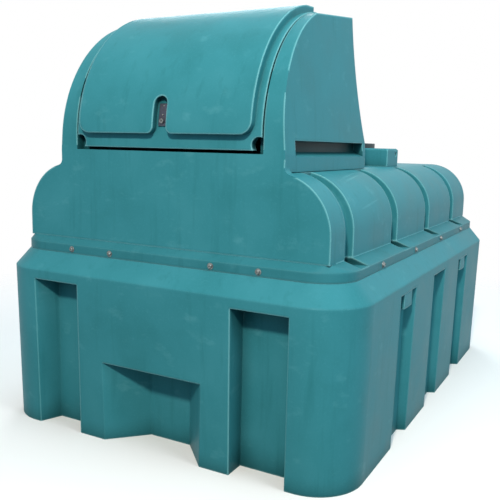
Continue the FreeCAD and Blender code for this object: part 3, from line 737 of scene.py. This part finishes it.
def domed_pattern(radius, height, segments):
    """A low domed head along +Z."""
    deselect()
    bpy.ops.mesh.primitive_cylinder_add(
        vertices=segments, radius=radius, depth=height, location=(0, 0, height / 2))
    head = bpy.context.object
    activate(head)
    bpy.ops.object.transform_apply(location=True)
    start_edit(head)
    pick_edges(head, lambda e: is_level(e) and edge_height(e) > height - CLOSE)
    bpy.ops.mesh.bevel(offset=height * DOME_ROUND, segments=4, affect="EDGES")
    end_edit()
    return head


def plate_face_at(height):
    """Depth (y) and facing of the lock plate's curved front at a height."""
    low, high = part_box("lock_plate")
    run = high[2] - low[2]
    back = high[1] - low[1] - PLATE_THICKNESS
    lean = math.atan2(back, run)
    share = (height - low[2]) / run
    y = low[1] + back * share * share
    tilt = lean * share * 2
    return y, (0, -math.cos(tilt), math.sin(tilt))


class TANK_OT_lock(bpy.types.Operator):
    """Rivet the lock plate and set a dark shape of painted shadow for its key slot"""

    bl_idname = "tank.lock"
    bl_label = "Lock"

    def execute(self, context):
        lock = context.scene.tank_lock
        steel = bpy.data.materials["fastener_steel"]
        low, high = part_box("lock_plate")
        centre_x = (low[0] + high[0]) / 2
        rivet = domed_pattern(lock.rivet_radius, lock.rivet_radius * RIVET_RISE, 20)
        for name, height in (("upper", high[2] - lock.rivet_inset), ("middle", (low[2] + high[2]) / 2)):
            y, facing = plate_face_at(height)
            piece = place_copy(rivet, facing, (centre_x, y, height))
            finish_piece(piece, "lock_rivet_" + name, "lid", steel)
        remove_pattern(rivet)
        barrel_low, barrel_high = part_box("lock_barrel")
        middle = (barrel_low[2] + barrel_high[2]) / 2
        dark, nodes, links = new_material("key_slot_shadow")
        # The key slot is a dark shape of painted shadow, not a hole
        shadow_grain = noise(nodes, links, nodes.new("ShaderNodeTexCoord").outputs["Object"], KEY_GRAIN, 3.0)
        shader = nodes["Principled BSDF"]
        links.new(mix_colour(nodes, links, shadow_grain, *KEY_SHADOW_TONES), shader.inputs["Base Color"])
        shader.inputs["Roughness"].default_value = KEY_ROUGHNESS
        deselect()
        bpy.ops.mesh.primitive_cylinder_add(
            vertices=24, radius=lock.key_width, depth=KEY_DEPTH,
            location=(centre_x, barrel_low[1] - KEY_LIFT, middle + lock.key_length * 0.25),
            rotation=(math.pi / 2, 0, 0))
        slot = bpy.context.object
        activate(slot)
        bpy.ops.object.transform_apply(location=True, rotation=True)
        start_edit(slot)
        pick_faces(slot, lambda f: f.normal.z < -0.97)
        bpy.ops.mesh.extrude_region_move(TRANSFORM_OT_translate={"value": (0, 0, -lock.key_length * 0.6)})
        end_edit()
        finish_piece(slot, "key_slot", "lid", dark)
        return {"FINISHED"}


def leaf_top_at(side, y):
    """Height of a hinge leaf's top face near y."""
    leaf = frame["nodes"]["hinge_leaf_" + side]
    points = [leaf.matrix_world @ corner.co for corner in leaf.data.vertices]
    back = max(point.y for point in points)
    rear_top = max(point.z for point in points if point.y > back - 0.001)
    return rear_top - (back - y) * math.tan(ROOF_SLOPE)


class TANK_OT_hinge_screws(bpy.types.Operator):
    """Screw the hinge leaves to the roof"""

    bl_idname = "tank.hinge_screws"
    bl_label = "Hinge screws"

    def execute(self, context):
        lock = context.scene.tank_lock
        steel = bpy.data.materials["fastener_steel"]
        facing = (0, -math.sin(ROOF_SLOPE), math.cos(ROOF_SLOPE))
        screw = domed_pattern(lock.screw_radius, lock.screw_radius * SCREW_RISE, 20)
        for side in ("right", "left"):
            low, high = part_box("hinge_leaf_" + side)
            middle = (low[0] + high[0]) / 2
            y = high[1] - (high[1] - low[1]) * 0.3
            z = leaf_top_at(side, y)
            for number, shift in enumerate((-0.5, 0.5), 1):
                piece = place_copy(screw, facing, (middle + shift * lock.screw_pitch, y, z))
                finish_piece(piece, "hinge_screw_%s_%d" % (side, number), "tank", steel)
        remove_pattern(screw)
        return {"FINISHED"}


class TANK_OT_studio(bpy.types.Operator):
    """Lay the floor, hang the lamps and set the camera"""

    bl_idname = "tank.studio"
    bl_label = "Studio"

    def execute(self, context):
        studio = context.scene.tank_studio
        scene = context.scene
        deselect()
        bpy.ops.mesh.primitive_circle_add(
            vertices=96, radius=FLOOR_RADIUS, fill_type="NGON", location=(0, 0, 0))
        floor = context.object
        floor.name = "studio_floor"
        ground, nodes, links = new_material("studio_floor")
        shader = nodes["Principled BSDF"]
        shader.inputs["Roughness"].default_value = FLOOR_ROUGHNESS
        shader.inputs["Specular IOR Level"].default_value = FLOOR_GLOSS
        seen = seen_share(nodes, links)
        tint = mix_colour(nodes, links, seen, studio.floor_bounce, studio.floor_colour)
        links.new(tint, shader.inputs["Base Color"])
        away = nodes.new("ShaderNodeVectorMath")
        away.operation = "LENGTH"
        links.new(nodes.new("ShaderNodeTexCoord").outputs["Object"], away.inputs[0])
        links.new(span(nodes, links, away.outputs["Value"], *FLOOR_FADE, 1.0, 0.0), shader.inputs["Alpha"])
        floor.data.materials.append(ground)
        for name, (place, target, size, power, colour) in LAMPS.items():
            self.hang_lamp(name, place, target, size, getattr(studio, power), colour)
        self.light_world(scene, studio)
        self.set_camera(scene, studio)
        scene.view_settings.view_transform = "Standard"
        return {"FINISHED"}

    def hang_lamp(self, name, place, target, size, power, colour):
        lamp = bpy.data.lights.new(name, "AREA")
        lamp.shape = "DISK"
        lamp.size = size
        lamp.energy = power
        lamp.color = colour
        obj = bpy.data.objects.new(name, lamp)
        bpy.context.collection.objects.link(obj)
        aim = Vector(target) - Vector(place)
        obj.matrix_world = Matrix.Translation(place) @ aim.to_track_quat("-Z", "Y").to_matrix().to_4x4()

    def light_world(self, scene, studio):
        world = bpy.data.worlds.new("studio_world")
        scene.world = world
        world.use_nodes = True
        nodes = world.node_tree.nodes
        links = world.node_tree.links
        nodes.clear()
        output = nodes.new("ShaderNodeOutputWorld")
        soft = nodes.new("ShaderNodeBackground")
        soft.inputs["Color"].default_value = (*studio.sky_colour, 1.0)
        soft.inputs["Strength"].default_value = studio.sky_strength
        white = nodes.new("ShaderNodeBackground")
        white.inputs["Color"].default_value = (1, 1, 1, 1)
        white.inputs["Strength"].default_value = 1.0
        mix = nodes.new("ShaderNodeMixShader")
        links.new(seen_share(nodes, links), mix.inputs["Fac"])
        links.new(soft.outputs["Background"], mix.inputs[1])
        links.new(white.outputs["Background"], mix.inputs[2])
        links.new(mix.outputs["Shader"], output.inputs["Surface"])

    def set_camera(self, scene, studio):
        camera = bpy.data.cameras.new("photo_camera")
        camera.sensor_width = SENSOR_WIDTH
        camera.sensor_fit = "HORIZONTAL"
        camera.lens = studio.lens
        camera.clip_end = SIGHT
        obj = bpy.data.objects.new("photo_camera", camera)
        bpy.context.collection.objects.link(obj)
        ahead = Vector((
            -math.sin(studio.heading) * math.cos(studio.tilt),
            math.cos(studio.heading) * math.cos(studio.tilt),
            -math.sin(studio.tilt)))
        level = Vector((math.cos(studio.heading), math.sin(studio.heading), 0.0))
        up = level.cross(ahead)
        right = level * math.cos(studio.roll) + up * math.sin(studio.roll)
        up = up * math.cos(studio.roll) - level * math.sin(studio.roll)
        turn = Matrix((right, up, -ahead)).transposed().to_4x4()
        obj.matrix_world = Matrix.Translation(studio.eye) @ turn
        scene.camera = obj


class TANK_PT_panel(bpy.types.Panel):
    """Tank pieces and finishes"""

    bl_idname = "TANK_PT_panel"
    bl_label = "Fuel storage tank"
    bl_space_type = "VIEW_3D"
    bl_region_type = "UI"
    bl_category = "Tank"

    def draw(self, context):
        for operator in OPERATORS:
            self.layout.operator(operator.bl_idname)
        for group in (context.scene.tank_finish, context.scene.tank_bolts, context.scene.tank_lock,
                      context.scene.tank_studio):
            box = self.layout.box()
            for name in group.__annotations__:
                box.prop(group, name)


OPERATORS = (
    TANK_OT_finishes,
    TANK_OT_flange_bolts,
    TANK_OT_lock,
    TANK_OT_hinge_screws,
    TANK_OT_studio,
)
GROUPS = (TankFinish, TankBolts, TankLock, TankStudio)


def register():
    for made in GROUPS + OPERATORS + (TANK_PT_panel,):
        bpy.utils.register_class(made)
    bpy.types.Scene.tank_finish = PointerProperty(type=TankFinish)
    bpy.types.Scene.tank_bolts = PointerProperty(type=TankBolts)
    bpy.types.Scene.tank_lock = PointerProperty(type=TankLock)
    bpy.types.Scene.tank_studio = PointerProperty(type=TankStudio)


def unregister():
    for name in ("tank_finish", "tank_bolts", "tank_lock", "tank_studio"):
        delattr(bpy.types.Scene, name)
    for made in (TANK_PT_panel,) + OPERATORS[::-1] + GROUPS[::-1]:
        bpy.utils.unregister_class(made)


def main():
    register()
    bpy.ops.tank.finishes()
    bpy.ops.tank.flange_bolts()
    bpy.ops.tank.lock()
    bpy.ops.tank.hinge_screws()
    bpy.ops.tank.studio()


if __name__ == "__main__":
    main()
